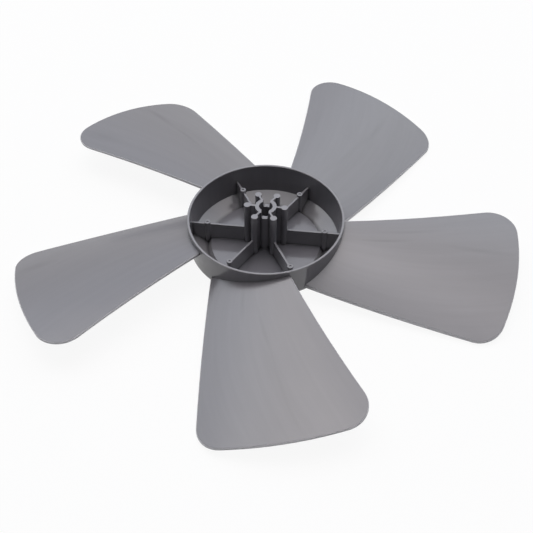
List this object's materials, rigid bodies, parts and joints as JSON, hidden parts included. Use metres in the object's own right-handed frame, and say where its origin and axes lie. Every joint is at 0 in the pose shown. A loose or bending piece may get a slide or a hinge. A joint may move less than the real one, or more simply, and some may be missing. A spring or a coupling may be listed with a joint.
{
  "type": "fan blade",
  "caption": "One-piece moulded axial fan blade with wide swept blades round a ribbed, cup-shaped hub that slides on a motor shaft and is driven by a cross pin.",
  "frame": {"origin": "on the shaft axis, in the plane of the hub's rim", "axes": "+Z along the shaft axis towards the motor, which is the open side of the hub; +X along one of the hub's ribs"},
  "size_m": [0.2951, 0.2963, 0.0344],
  "materials": {
    "moulded_plastic": "satin moulded grey plastic"
  },
  "bodies": {
    "root": {"fan_blade": "moulded_plastic"}
  },
  "joints": []
}
